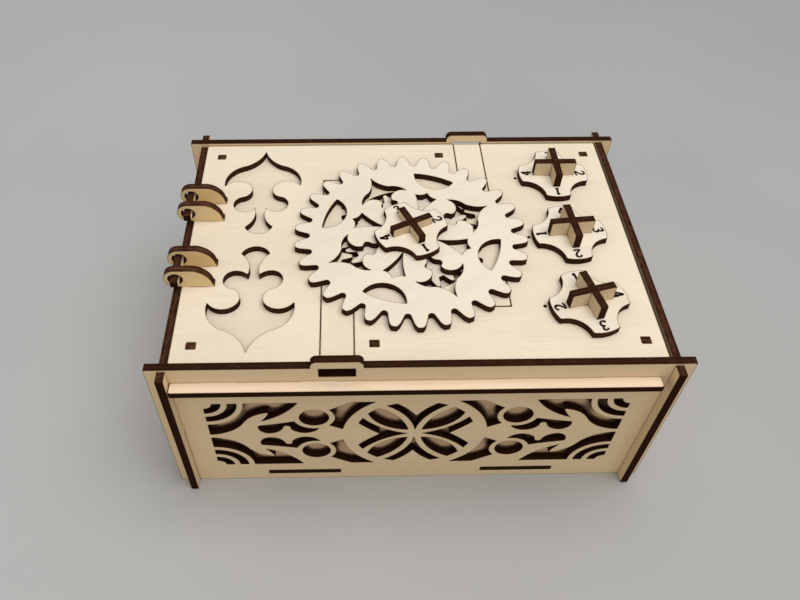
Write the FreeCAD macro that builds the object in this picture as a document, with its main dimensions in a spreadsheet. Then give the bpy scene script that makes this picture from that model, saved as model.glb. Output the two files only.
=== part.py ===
import FreeCAD, Part
import Sketcher
import math
import os
import re
from FreeCAD import Placement, Rotation, Vector

# A laser-cut plywood puzzle box: four slotted walls, a hinged two-layer lid, a gear on the lid
# that shoots two bolts into keepers on the walls, and three dials that free the gear.
# X runs along the box, Y from front to back, Z up from the table.

doc = FreeCAD.newDocument("PuzzleBox")
sheet = doc.addObject("Spreadsheet::Sheet", "Sizes")

# Driving dimensions: millimetres, degrees for turns, and plain counts
SIZES = {
    # sheet material and clearances
    "ply": 3.0,
    "fit": 0.05,
    "slip": 0.1,
    "lay": 0.1,
    # walls
    "box_length": 198.0,
    "wall_depth": 127.5,
    "wall_height": 85.0,
    "side_span": 185.6,
    "side_reach": 4.4,
    "side_drop": 1.0,
    "hinge_drop": 2.0,
    "lap_height": 42.5,
    # floor and its tabs
    "floor_height": 4.5,
    "floor_tab": 30.6,
    "floor_tab_place": 45.4,
    "side_tab": 30.0,
    # outer rails
    "rail_height": 73.8,
    "rail_left_gap": 0.4,
    "rail_right_gap": 3.3,
    "rail_tab": 12.4,
    "rail_tab_inner": 37.2,
    "rail_tab_outer": 73.2,
    # keepers on the walls
    "keeper_foot": 19.0,
    "keeper_head": 15.6,
    "keeper_rise": 3.7,
    "keeper_slot": 13.4,
    "keeper_under": 1.2,
    "keeper_over": 0.8,
    # fretwork
    "fret_height": 37.6,
    "fret_half_length": 81.4,
    "fret_half_height": 24.3,
    # lid
    "lid_seat": 77.8,
    "lid_hinge_gap": 0.3,
    "lid_free_gap": 1.0,
    "lid_end_gap": 0.35,
    "slot_stop": 36.2,
    "cavity": 4.0,
    "cover_gap": 0.6,
    "cover_inset": 3.0,
    "post_width": 10.0,
    "post_tenon": 3.5,
    "post_place": 83.7,
    "post_middle": 16.5,
    "post_side": 52.5,
    "spade_place": 63.5,
    "spade_gap": 3.6,
    # hinge
    "hinge_rise": 4.6,
    "hinge_place": 17.9,
    "fin_spread": 5.2,
    "fin_length": 14.6,
    "fin_tenon": 7.0,
    "fin_tenon_start": 4.8,
    "eye_hole": 2.9,
    "eye_rim": 4.6,
    "bar_end": 2.8,
    "stem_side_gap": 0.5,
    # bolts
    "bolt_place": 30.2,
    "bolt_width": 12.2,
    "bolt_side_gap": 0.3,
    "bolt_rest_gap": 0.45,
    "bolt_tail_gap": 0.3,
    # gear train
    "gear_turn": 25.0,
    "gear_teeth": 30,
    "gear_tip": 48.0,
    "gear_root": 41.6,
    "pinion_teeth": 26,
    "pitch_radius": 26.0,
    "tooth_out": 1.8,
    "tooth_in": 2.5,
    "pinion_room": 0.8,
    "rack_gaps": 7,
    # dials and knob
    "dial_place": 65.8,
    "dial_step": 36.2,
    "dial_radius": 15.2,
    "dial_waist": 11.2,
    "dial_lobe": 20.5,
    "dial_back_turn": 0.0,
    "dial_middle_turn": 5.0,
    "dial_front_turn": 14.0,
    "blade_span": 18.0,
    "blade_rise": 7.0,
    "stem_width": 7.0,
    # lock parts under the lid
    "lock_drop": 0.3,
    "disc_radius": 8.5,
    "lock_bite": 2.5,
    "lock_room": 0.6,
    "lock_hub": 8.0,
    "arm_width": 3.0,
    "arm_lag": 7.5,
}
for row, (alias, value) in enumerate(SIZES.items(), 1):
    sheet.set("A%d" % row, alias)
    sheet.set("B%d" % row, str(value))
    sheet.setAlias("B%d" % row, alias)
doc.recompute()

# Levels and faces that several pieces share, as expressions of the sheet's cells
WALL_OUT = "(wall_depth / 2)"
WALL_IN = "(wall_depth / 2 - ply)"
SIDE_IN = "(side_span / 2 - ply / 2)"
SIDE_OUT = "(side_span / 2 + ply / 2)"
FLOOR_TOP = "(floor_height + ply)"
LID_TOP = "(lid_seat + 2 * ply)"
LID_END = "(wall_depth / 2 - ply - lid_end_gap)"
LID_HINGE_EDGE = "(side_span / 2 - ply / 2 - lid_hinge_gap)"
LID_FREE_EDGE = "(side_span / 2 - ply / 2 - lid_free_gap)"
SLOT_INNER = "(bolt_place - bolt_width / 2 - bolt_side_gap)"
SLOT_OUTER = "(bolt_place + bolt_width / 2 + bolt_side_gap)"
PLATE_LOW = "(lid_seat + 2 * ply + lay)"
BLADE_TOP = "(lid_seat + 3 * ply + lay + blade_rise)"
LOCK_LOW = "(lid_seat - lock_drop - ply)"
STEM_HOLE = "(sqrt(stem_width * stem_width + ply * ply) / 2 + slip)"

nodes = []


def size(alias):
    """A cell's value as a plain number."""
    return float(sheet.get(alias))


def bind(target, path, text):
    """Bind a property to an expression written with the sheet's aliases."""
    def address(match):
        word = match.group(0)
        return word if word == "sqrt" else "Sizes." + word
    target.setExpression(path, re.sub(r"[a-z_]+", address, text))


def new_body(label):
    """An empty body that becomes one piece of the box."""
    body = doc.addObject("PartDesign::Body", label)
    body.Label = label
    nodes.append(body)
    return body


def new_sketch(body, role, level):
    """A sketch on one of the body's planes, moved along its normal to a level.

    On XZ_Plane the sketch's y is Z and the normal points to -Y; on YZ_Plane its x is Y and its
    y is Z, with the normal along +X.
    """
    sketch = body.newObject("Sketcher::SketchObject", body.Label + "_sketch")
    plane = [part for part in body.Origin.OriginFeatures if part.Role == role][0]
    sketch.AttachmentSupport = (plane, [""])
    sketch.MapMode = "FlatFace"
    bind(sketch, "AttachmentOffset.Base.z", level)
    return sketch


def dimension(sketch, kind, geometry, point, text):
    """Fix one coordinate of a point from the sketch's origin."""
    constraint = Sketcher.Constraint(kind, -1, 1, geometry, point, 0.5)
    index = sketch.addConstraint(constraint)
    bind(sketch, "Constraints[%d]" % index, text)


def rectangle(sketch, left, right, low, high):
    """A rectangle whose four sides are bound to expressions."""
    first = sketch.GeometryCount
    corners = [Vector(0, 0, 0), Vector(1, 0, 0), Vector(1, 1, 0), Vector(0, 1, 0)]
    for i in range(4):
        sketch.addGeometry(Part.LineSegment(corners[i], corners[(i + 1) % 4]), False)
    for i in range(4):
        sketch.addConstraint(Sketcher.Constraint("Coincident", first + i, 2, first + (i + 1) % 4, 1))
    for i in (0, 2):
        sketch.addConstraint(Sketcher.Constraint("Horizontal", first + i))
    for i in (1, 3):
        sketch.addConstraint(Sketcher.Constraint("Vertical", first + i))
    dimension(sketch, "DistanceX", first, 1, left)
    dimension(sketch, "DistanceX", first + 2, 1, right)
    dimension(sketch, "DistanceY", first, 1, low)
    dimension(sketch, "DistanceY", first + 2, 1, high)


def centred(sketch, x, y, half_x, half_y):
    """A rectangle about a middle point."""
    rectangle(
        sketch,
        "%s - (%s)" % (x, half_x),
        "%s + (%s)" % (x, half_x),
        "%s - (%s)" % (y, half_y),
        "%s + (%s)" % (y, half_y),
    )


def circle(sketch, x, y, radius):
    """A circle whose centre and radius are bound to expressions."""
    index = sketch.addGeometry(Part.Circle(Vector(1, 1, 0), Vector(0, 0, 1), 1.0), False)
    dimension(sketch, "DistanceX", index, 3, x)
    dimension(sketch, "DistanceY", index, 3, y)
    constraint = sketch.addConstraint(Sketcher.Constraint("Radius", index, 1.0))
    bind(sketch, "Constraints[%d]" % constraint, radius)


def curve(points):
    """A line through two points or an arc through three."""
    places = [Vector(x, y, 0) for x, y in points]
    if len(places) == 2:
        return Part.LineSegment(places[0], places[1])
    return Part.Arc(places[0], places[1], places[2])


def draw(sketch, loops):
    """Add closed loops, each a list of lines and arcs."""
    for loop in loops:
        for run in loop:
            sketch.addGeometry(curve(run), False)


def ring(sketch, centre, radius):
    """Add a circle at a worked-out place."""
    middle = Vector(centre[0], centre[1], 0)
    sketch.addGeometry(Part.Circle(middle, Vector(0, 0, 1), radius), False)


def pad(body, sketch, depth="ply"):
    """Raise a sketch along its normal."""
    feature = body.newObject("PartDesign::Pad", body.Label + "_pad")
    feature.Profile = sketch
    bind(feature, "Length", depth)
    return feature


def pocket(body, sketch, depth="ply"):
    """Cut a sketch along its normal."""
    feature = body.newObject("PartDesign::Pocket", body.Label + "_pocket")
    feature.Profile = sketch
    feature.Reversed = True
    bind(feature, "Length", depth)
    return feature


def around(body, feature, sketch, count):
    """Repeat a feature evenly about the sketch's normal."""
    pattern = body.newObject("PartDesign::PolarPattern", body.Label + "_pattern")
    pattern.Originals = [feature]
    pattern.Axis = (sketch, ["N_Axis"])
    pattern.Angle = 360
    bind(pattern, "Occurrences", count)
    body.Tip = pattern


def turned(body, angle):
    """Turn a body about the vertical through the box's middle."""
    body.Placement = Placement(Vector(0, 0, 0), Rotation(Vector(0, 0, 1), angle))


def set_down(body, x, y, angle=0.0):
    """Turn a body about its own vertical and move it to a place on the lid."""
    turned(body, angle)
    bind(body, "Placement.Base.x", x)
    bind(body, "Placement.Base.y", y)


def flip(loop, across, up):
    """Mirror a loop by the signs of its two coordinates."""
    return [[(across * x, up * y) for x, y in run] for run in loop]


def rotated(loop, angle):
    """Turn a loop about the origin by an angle in degrees."""
    c = math.cos(math.radians(angle))
    s = math.sin(math.radians(angle))
    return [[(x * c - y * s, x * s + y * c) for x, y in run] for run in loop]


def moved(loop, x, y):
    """Move a loop."""
    return [[(px + x, py + y) for px, py in run] for run in loop]


def ring_point(centre, radius, angle):
    """A point on a circle, by its angle in degrees."""
    a = math.radians(angle)
    return (centre[0] + radius * math.cos(a), centre[1] + radius * math.sin(a))


# Half of the lid's spade ornament: tip up, foot of its stem at the origin
SPADE_RUNS = [
    [(0, 52.2), (2.7, 46.8), (8.5, 42.4)],
    [(8.5, 42.4), (15.4, 37.1), (16.7, 29.2)],
    [(16.7, 29.2), (11.0, 32.4), (5.5, 30.0)],
    [(5.5, 30.0), (4.6, 25.4), (8.8, 22.0)],
    [(8.8, 22.0), (11.6, 16.4), (7.0, 13.1)],
    [(7.0, 13.1), (4.5, 13.6), (2.3, 15.2)],
    [(2.3, 15.2), (2.2, 9.3), (5.8, 4.0)],
]
SPADE_FOOT = [(5.8, 4.0), (0, 0), (-5.8, 4.0)]

# Half of the gear's lily ornament: tip up, the gear's middle at the origin
LILY_RUNS = [
    [(0, 37.2), (1.9, 32.2), (4.9, 29.1)],
    [(4.9, 29.1), (8.9, 26.7), (10.7, 23.5)],
    [(10.7, 23.5), (7.0, 25.1), (3.6, 23.8)],
    [(3.6, 23.8), (2.5, 22.3), (2.3, 20.5)],
    [(2.3, 20.5), (3.75, 18.8), (2.7, 17.4)],
    [(2.7, 17.4), (1.4, 16.2), (1.0, 14.0)],
    [(1.0, 14.0), (1.0, 11.5)],
]
LILY_FOOT = [(1.0, 11.5), (-1.0, 11.5)]


def whole(half, foot):
    """A symmetric outline from its right half and the run that closes its foot."""
    return half + flip(half, -1, 1) + [foot]


def fretwork(sketch):
    """The cut-outs of a long wall, alike in the four quarters about the fretwork's middle."""
    wide = size("fret_half_length")
    tall = size("fret_half_height")
    middle = size("fret_height")
    corner = (wide, tall)
    eye = (39.75, 13.2)
    eye_radius = 5.8
    collar = 8.2
    medallion = 29.0
    petal_end = 24.5

    def corner_arc(radius):
        return [(wide, tall - radius), ring_point(corner, radius, 225), (wide - radius, tall)]

    def corner_band(inner, outer):
        return [
            corner_arc(inner),
            [(wide - inner, tall), (wide - outer, tall)],
            corner_arc(outer),
            [(wide, tall - outer), (wide, tall - inner)],
        ]

    scroll_arc = 15.3
    scroll = [
        corner_arc(scroll_arc),
        [(wide - scroll_arc, tall), (45.6, tall)],
        [(45.6, tall), (50.8, 17.4), (60.6, 11.0)],
        [(60.6, 11.0), (58.6, 13.8), (57.0, 17.5)],
        [(57.0, 17.5), (62.7, 15.4), (67.8, 9.4)],
        [(67.8, 9.4), (73.6, 3.5), (wide, 1.2)],
        [(wide, 1.2), (wide, tall - scroll_arc)],
    ]
    collar_start = ring_point(eye, collar, 342)
    collar_end = ring_point(eye, collar, 258)
    wave = [
        [(61.7, 7.7), (54.5, 9.0), collar_start],
        [collar_start, ring_point(eye, collar, 310), collar_end],
        [collar_end, (43.3, 1.6), (49.3, 5.2)],
        [(49.3, 5.2), (50.8, 7.4), (52.3, 5.6)],
        [(52.3, 5.6), (54.3, 2.9), (57.6, 1.6)],
        [(57.6, 1.6), (61.5, 3.9), (61.7, 7.7)],
    ]
    tri_top = ring_point(eye, collar, 137)
    tri_low = ring_point(eye, collar, 226)
    ring_top = math.sqrt(medallion ** 2 - tall ** 2)
    ring_low = math.sqrt(medallion ** 2 - 4.2 ** 2)
    triangle = [
        [(ring_top, tall), (25.4, tall)],
        [(25.4, tall), tri_top],
        [tri_top, ring_point(eye, collar, 180), tri_low],
        [tri_low, (ring_low, 4.2)],
        [(ring_low, 4.2), ring_point((0, 0), medallion, 33), (ring_top, tall)],
    ]
    petal_tip = (2.7, 3.0)
    petal_top = ring_point((0, 0), petal_end, 53.5)
    petal_low = ring_point((0, 0), petal_end, 40.0)
    petal = [
        [petal_tip, (6.4, 12.0), petal_top],
        [petal_top, ring_point((0, 0), petal_end, 47), petal_low],
        [petal_low, (12.2, 6.4), petal_tip],
    ]
    loops = []
    for across in (1, -1):
        for up in (1, -1):
            for loop in (corner_band(3.4, 6.8), corner_band(9.3, 12.8), scroll, wave, triangle, petal):
                loops.append(flip(loop, across, up))

    def fork(inner, outer, inner_bend, outer_bend, crotch):
        half = [
            [(0, 2.8), inner_bend, inner],
            [inner, outer],
            [outer, outer_bend, (0, crotch)],
        ]
        return half + flip(half, -1, 1)

    upright = fork((11.8, 21.4), (7.8, 22.8), (3.4, 12.5), (3.2, 18.4), 13.5)
    sideways = rotated(fork((12.4, 20.8), (8.7, 22.5), (4.0, 12.0), (3.5, 17.8), 13.9), -90)
    loops += [upright, flip(upright, 1, -1), sideways, flip(sideways, -1, 1)]
    draw(sketch, [moved(loop, 0, middle) for loop in loops])
    for across in (1, -1):
        for up in (1, -1):
            ring(sketch, (across * eye[0], middle + up * eye[1]), eye_radius)


def long_wall(label, angle):
    """A front or back wall: ears past the sides, keeper on top, fretwork through its face."""
    body = new_body(label)
    plate = new_sketch(body, "XZ_Plane", WALL_IN)
    rectangle(plate, "-box_length / 2", "box_length / 2", "0", "wall_height")
    pad(body, plate)
    top = size("wall_height")
    middle = -size("bolt_place")
    foot = size("keeper_foot") / 2
    head = size("keeper_head") / 2
    rise = size("keeper_rise")
    root = top - size("ply")
    bulge = (0.3 * foot + 0.7 * head + 0.8, top + 0.7 * rise)
    keeper_half = [
        [(0, root), (foot, root)],
        [(foot, root), (foot, top)],
        [(foot, top), bulge, (head, top + rise)],
        [(head, top + rise), (0, top + rise)],
    ]
    arch = new_sketch(body, "XZ_Plane", WALL_IN)
    draw(arch, [moved(keeper_half + flip(keeper_half, -1, 1), middle, 0)])
    pad(body, arch)
    slots = new_sketch(body, "XZ_Plane", WALL_IN)
    sheet_half = "ply / 2 + fit"
    floor_middle = "floor_height + ply / 2"
    rail_middle = "rail_height + ply / 2"
    for sign in ("-", ""):
        centred(slots, sign + "side_span / 2", "0", sheet_half, "lap_height")
        centred(slots, sign + "floor_tab_place", floor_middle, "floor_tab / 2 + fit", sheet_half)
        for place in ("rail_tab_inner", "rail_tab_outer"):
            centred(slots, sign + place, rail_middle, "rail_tab / 2 + fit", sheet_half)
    rectangle(
        slots,
        "-bolt_place - keeper_slot / 2",
        "-bolt_place + keeper_slot / 2",
        "lid_seat + ply - keeper_under",
        LID_TOP + " + keeper_over",
    )
    pocket(body, slots)
    cut_outs = new_sketch(body, "XZ_Plane", WALL_IN)
    fretwork(cut_outs)
    pocket(body, cut_outs)
    turned(body, angle)


def side_wall(label, level, hinged):
    """A left or right wall, slotted from the top; the hinged one carries two T-shaped tabs."""
    body = new_body(label)
    plate = new_sketch(body, "YZ_Plane", level)
    reach = WALL_OUT + " + side_reach"
    rectangle(plate, "-(%s)" % reach, reach, "0", "wall_height - side_drop")
    pad(body, plate)
    slots = new_sketch(body, "YZ_Plane", level)
    for sign in ("-", ""):
        middle = sign + "(wall_depth / 2 - ply / 2)"
        low_side = middle + " - ply / 2 - fit"
        high_side = middle + " + ply / 2 + fit"
        rectangle(slots, low_side, high_side, "lap_height", "wall_height")
    centred(slots, "0", "floor_height + ply / 2", "side_tab / 2 + fit", "ply / 2 + fit")
    pocket(body, slots)
    if not hinged:
        return
    lowered = new_sketch(body, "YZ_Plane", level)
    rectangle(lowered, "-" + WALL_IN, WALL_IN, "wall_height - hinge_drop", "wall_height")
    pocket(body, lowered)
    hinge_height = LID_TOP + " + hinge_rise"
    stems = new_sketch(body, "YZ_Plane", level)
    bars = new_sketch(body, "YZ_Plane", level)
    for sign in ("-", ""):
        middle = sign + "hinge_place"
        stem_half = "(fin_spread - ply / 2 - stem_side_gap)"
        rectangle(
            stems,
            middle + " - " + stem_half,
            middle + " + " + stem_half,
            "wall_height - hinge_drop - ply",
            hinge_height,
        )
        centred(bars, middle, hinge_height, "fin_spread + ply / 2 + bar_end", "ply / 2")
    pad(body, stems)
    pad(body, bars)


def floor_panel():
    """The floor, with tabs through all four walls."""
    body = new_body("floor_panel")
    plate = new_sketch(body, "XY_Plane", "floor_height")
    rectangle(plate, "-" + SIDE_IN, SIDE_IN, "-" + WALL_IN, WALL_IN)
    pad(body, plate)
    end_tabs = new_sketch(body, "XY_Plane", "floor_height")
    for sign in ("-", ""):
        centred(end_tabs, sign + "floor_tab_place", "0", "floor_tab / 2", WALL_OUT)
    pad(body, end_tabs)
    side_tabs = new_sketch(body, "XY_Plane", "floor_height")
    centred(side_tabs, "0", "0", SIDE_OUT, "side_tab / 2")
    pad(body, side_tabs)


def liner(label, angle):
    """A plain panel behind a fretted wall; the lid rests on its top edge."""
    body = new_body(label)
    plate = new_sketch(body, "XZ_Plane", "wall_depth / 2 - 2 * ply")
    rectangle(plate, "-%s + fit" % SIDE_IN, SIDE_IN + " - fit", FLOOR_TOP, "lid_seat")
    pad(body, plate)
    turned(body, angle)


def rail(label, angle):
    """A flat ledge outside a long wall, tenoned into it."""
    body = new_body(label)
    plate = new_sketch(body, "XY_Plane", "rail_height")
    rectangle(
        plate,
        "-%s + rail_left_gap" % SIDE_IN,
        SIDE_IN + " - rail_right_gap",
        "-%s - side_reach" % WALL_OUT,
        "-" + WALL_OUT,
    )
    pad(body, plate)
    tenons = new_sketch(body, "XY_Plane", "rail_height")
    for sign in ("-", ""):
        for place in ("rail_tab_inner", "rail_tab_outer"):
            rectangle(
                tenons,
                sign + place + " - rail_tab / 2",
                sign + place + " + rail_tab / 2",
                "-%s - side_reach / 2" % WALL_OUT,
                "-" + WALL_IN,
            )
    pad(body, tenons)
    turned(body, angle)


# Post places as seen on the hinge half of the lid; the other half has them turned half round
HALF_POSTS = [("-post_place", "post_side"), ("-post_place", "-post_side"), ("post_middle", "post_side")]
OTHER_POSTS = [("post_place", "-post_side"), ("post_place", "post_side"), ("-post_middle", "-post_side")]
FIN_PLACES = {
    "hinge_fin_back_outer": "hinge_place + fin_spread",
    "hinge_fin_back_inner": "hinge_place - fin_spread",
    "hinge_fin_front_inner": "-hinge_place + fin_spread",
    "hinge_fin_front_outer": "-hinge_place - fin_spread",
}
DIAL_STEPS = {"back": "dial_step", "middle": "0", "front": "-dial_step"}


def tenon_holes(sketch, places):
    """Square holes for post tenons."""
    for x, y in places:
        centred(sketch, x, y, "post_tenon / 2 + fit", "ply / 2 + fit")


def fin_holes(sketch):
    """Slots for the tenons of the hinge fins."""
    start = "-side_span / 2 + fin_tenon_start"
    for place in FIN_PLACES.values():
        rectangle(
            sketch,
            start + " - fit",
            start + " + fin_tenon + fit",
            place + " - ply / 2 - fit",
            place + " + ply / 2 + fit",
        )


def lid_base():
    """The lid's lower layer, whole, which rests on the liners."""
    body = new_body("lid_base")
    plate = new_sketch(body, "XY_Plane", "lid_seat")
    rectangle(plate, "-" + LID_HINGE_EDGE, LID_FREE_EDGE, "-" + LID_END, LID_END)
    tenon_holes(plate, HALF_POSTS + OTHER_POSTS)
    fin_holes(plate)
    circle(plate, "0", "0", STEM_HOLE)
    for step in DIAL_STEPS.values():
        circle(plate, "dial_place", step, STEM_HOLE)
    pad(body, plate)


def lid_top(label, edge, angle):
    """Half of the lid's upper layer, from its outer edge round the bolt slots and the pinion.

    It is drawn as the hinge half; the other half is the same piece turned half round.
    """
    body = new_body(label)
    level = "lid_seat + ply"
    plate = new_sketch(body, "XY_Plane", level)
    rectangle(plate, "-" + edge, SLOT_INNER, "-" + LID_END, LID_END)
    pad(body, plate)
    front = new_sketch(body, "XY_Plane", level)
    rectangle(front, "-" + SLOT_OUTER, SLOT_INNER + " + ply", "-%s - ply" % LID_END, "0")
    pocket(body, front)
    slot = new_sketch(body, "XY_Plane", level)
    rectangle(slot, "-" + SLOT_OUTER, "-" + SLOT_INNER, "-ply", "slot_stop")
    pocket(body, slot)
    room = new_sketch(body, "XY_Plane", level)
    circle(room, "0", "0", "pitch_radius + tooth_out + pinion_room")
    pocket(body, room)
    holes = new_sketch(body, "XY_Plane", level)
    tenon_holes(holes, HALF_POSTS)
    if angle:
        for step in DIAL_STEPS.values():
            circle(holes, "-dial_place", step, STEM_HOLE)
    else:
        fin_holes(holes)
    pocket(body, holes)
    if not angle:
        recesses = new_sketch(body, "XY_Plane", level)
        upper = moved(whole(SPADE_RUNS, SPADE_FOOT), -size("spade_place"), size("spade_gap"))
        draw(recesses, [upper, flip(upper, 1, -1)])
        pocket(body, recesses)
    turned(body, angle)


def lid_cover():
    """The thin panel under the lid that closes the lock's cavity."""
    body = new_body("lid_cover")
    plate = new_sketch(body, "XY_Plane", "lid_seat - cavity - ply")
    end = "(wall_depth / 2 - 2 * ply - cover_gap)"
    rectangle(plate, "-%s + cover_inset" % SIDE_IN, SIDE_IN + " - cover_inset", "-" + end, end)
    tenon_holes(plate, HALF_POSTS + OTHER_POSTS)
    pad(body, plate)


def lid_post(label, place):
    """A spacer between base and cover, with a tenon that shows as a square on the lid."""
    body = new_body(label)
    spacer = new_sketch(body, "XZ_Plane", "-ply / 2")
    rectangle(spacer, "-post_width / 2", "post_width / 2", "lid_seat - cavity", "lid_seat")
    pad(body, spacer)
    tenon = new_sketch(body, "XZ_Plane", "-ply / 2")
    rectangle(tenon, "-post_tenon / 2", "post_tenon / 2", "lid_seat - cavity - ply", LID_TOP)
    pad(body, tenon)
    set_down(body, place[0], place[1])


def hinge_fin(label, place):
    """An upright fin on the lid whose round eye turns on the hinge bar."""
    body = new_body(label)
    rise = size("hinge_rise")
    rim = size("eye_rim")
    length = size("fin_length")
    heel = size("ply") / 2 + size("lid_hinge_gap") + size("slip")
    nub = 1.3
    nub_step = 0.5
    shoulder = 7.1
    heel_angle = 250
    profile = [
        [(heel, -rise), (length, -rise)],
        [(length, -rise), (length, nub - rise)],
        [(length, nub - rise), (length - nub_step, nub - rise)],
        [(length - nub_step, nub - rise), (12.3, 1.3), (shoulder, rim)],
        [(shoulder, rim), (0, rim)],
        [(0, rim), ring_point((0, 0), rim, 170), ring_point((0, 0), rim, heel_angle)],
        [ring_point((0, 0), rim, heel_angle), (heel, -rise)],
    ]
    axis_x = -size("side_span") / 2
    axis_z = size("lid_seat") + 2 * size("ply") + rise
    plate = new_sketch(body, "XZ_Plane", "-ply / 2")
    draw(plate, [moved(profile, axis_x, axis_z)])
    circle(plate, "-side_span / 2", LID_TOP + " + hinge_rise", "eye_hole")
    pad(body, plate)
    start = "-side_span / 2 + fin_tenon_start"
    tenon = new_sketch(body, "XZ_Plane", "-ply / 2")
    rectangle(tenon, start, start + " + fin_tenon", "lid_seat", LID_TOP + " + hinge_rise / 2")
    pad(body, tenon)
    set_down(body, "0", place)


def bolt(label, angle):
    """A sliding bar with rack teeth on its inner edge, drawn as the back bolt."""
    body = new_body(label)
    level = "lid_seat + ply"
    inner = size("bolt_place") - size("bolt_width") / 2
    bar = new_sketch(body, "XY_Plane", level)
    rectangle(
        bar,
        "bolt_place - bolt_width / 2",
        "bolt_place + bolt_width / 2",
        "-slot_stop + bolt_tail_gap",
        WALL_IN + " - bolt_rest_gap",
    )
    pad(body, bar)
    pitch = 2 * math.pi * size("pitch_radius") / size("pinion_teeth")
    count = int(size("rack_gaps"))
    root = size("pitch_radius") + size("tooth_in")
    mouth_half = 0.38 * pitch
    root_half = 0.17 * pitch
    first = -(count - 1) / 2 * pitch
    gap = [
        [(inner - 1, -mouth_half), (inner, -mouth_half)],
        [(inner, -mouth_half), (root, -root_half)],
        [(root, -root_half), (root, root_half)],
        [(root, root_half), (inner, mouth_half)],
        [(inner, mouth_half), (inner - 1, mouth_half)],
        [(inner - 1, mouth_half), (inner - 1, -mouth_half)],
    ]
    rack = new_sketch(body, "XY_Plane", level)
    draw(rack, [moved(gap, 0, first)])
    cut = pocket(body, rack)
    pattern = body.newObject("PartDesign::LinearPattern", label + "_pattern")
    pattern.Originals = [cut]
    pattern.Direction = (rack, ["V_Axis"])
    pattern.Length = pitch * (count - 1)
    bind(pattern, "Occurrences", "rack_gaps")
    body.Tip = pattern
    turned(body, angle)


def cross_slot(body, level):
    """Two crossing slots for the stems of a pair of blades."""
    for half_x, half_y in (("stem_width / 2", "ply / 2"), ("ply / 2", "stem_width / 2")):
        slot = new_sketch(body, "XY_Plane", level)
        centred(slot, "0", "0", half_x + " + fit", half_y + " + fit")
        pocket(body, slot)


def drive_gear():
    """The large pierced gear on top of the lid."""
    body = new_body("drive_gear")
    disc = new_sketch(body, "XY_Plane", PLATE_LOW)
    circle(disc, "0", "0", "gear_tip")
    pad(body, disc)
    tip = size("gear_tip")
    root = size("gear_root")
    beyond = tip + 1
    valley_half = 1.4
    flank_half = 2.75
    mouth_half = 4.9
    flare = 1.6
    half_valley = [
        [(root + valley_half, valley_half), (tip - flare, flank_half)],
        [(tip - flare, flank_half), (beyond, mouth_half)],
        [(beyond, mouth_half), (beyond, 0)],
    ]
    bottom = [(root + valley_half, valley_half), (root, 0), (root + valley_half, -valley_half)]
    valley = half_valley + flip(half_valley, 1, -1) + [bottom]
    teeth = new_sketch(body, "XY_Plane", PLATE_LOW)
    draw(teeth, [valley])
    around(body, pocket(body, teeth), teeth, "gear_teeth")
    petal_radius = 36.8
    petal_half = 14.0
    petal_inner = 28.6
    petal_start = ring_point((0, 0), petal_radius, -petal_half)
    petal_end = ring_point((0, 0), petal_radius, petal_half)
    petal = [
        [petal_start, (petal_radius, 0), petal_end],
        [petal_end, (petal_inner, 0), petal_start],
    ]
    kite_half = [
        [(25.5, 0), (23.7, 1.7), (23.0, 4.7)],
        [(23.0, 4.7), (17.5, 1.9), (10.5, 0)],
    ]
    kite = kite_half + flip(kite_half, 1, -1)
    motifs = [
        rotated(whole(LILY_RUNS, LILY_FOOT), -90),
        rotated(petal, 45),
        rotated(kite, 45),
    ]
    piercing = new_sketch(body, "XY_Plane", PLATE_LOW)
    draw(piercing, [rotated(motif, 90 * quarter) for motif in motifs for quarter in range(4)])
    pocket(body, piercing)
    cross_slot(body, PLATE_LOW)
    turned(body, size("gear_turn"))


def pinion():
    """The small gear under the large one, between the two racks."""
    body = new_body("pinion")
    level = PLATE_LOW + " - ply"
    disc = new_sketch(body, "XY_Plane", level)
    circle(disc, "0", "0", "pitch_radius - tooth_in")
    pad(body, disc)
    pitch = 2 * math.pi * size("pitch_radius") / size("pinion_teeth")
    middle = size("pitch_radius")
    tip = middle + size("tooth_out")
    root = middle - size("tooth_in") - 0.5
    root_half = 0.29 * pitch
    pitch_half = 0.2 * pitch
    tip_half = 0.1 * pitch
    half_tooth = [
        [(root, 0), (root, root_half)],
        [(root, root_half), (middle, pitch_half)],
        [(middle, pitch_half), (tip, tip_half)],
        [(tip, tip_half), (tip, 0)],
    ]
    tooth = half_tooth + flip(half_tooth, 1, -1)
    teeth = new_sketch(body, "XY_Plane", level)
    draw(teeth, [rotated(tooth, -size("gear_turn"))])
    around(body, pad(body, teeth), teeth, "pinion_teeth")
    cross_slot(body, level)
    turned(body, size("gear_turn"))


def dial_plate(label, level):
    """A four-lobed plate with concave sides and a cross slot in its middle."""
    body = new_body(label)
    disc = new_sketch(body, "XY_Plane", level)
    circle(disc, "0", "0", "dial_radius")
    pad(body, disc)
    radius = size("dial_radius")
    waist = size("dial_waist")
    corner = radius * math.cos(math.radians(45 - size("dial_lobe")))
    away = (radius ** 2 - waist ** 2) / (2 * (corner - waist))
    side = new_sketch(body, "XY_Plane", level)
    ring(side, ring_point((0, 0), away, 45), away - waist)
    around(body, pocket(body, side), side, "4")
    cross_slot(body, level)
    return body


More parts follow.
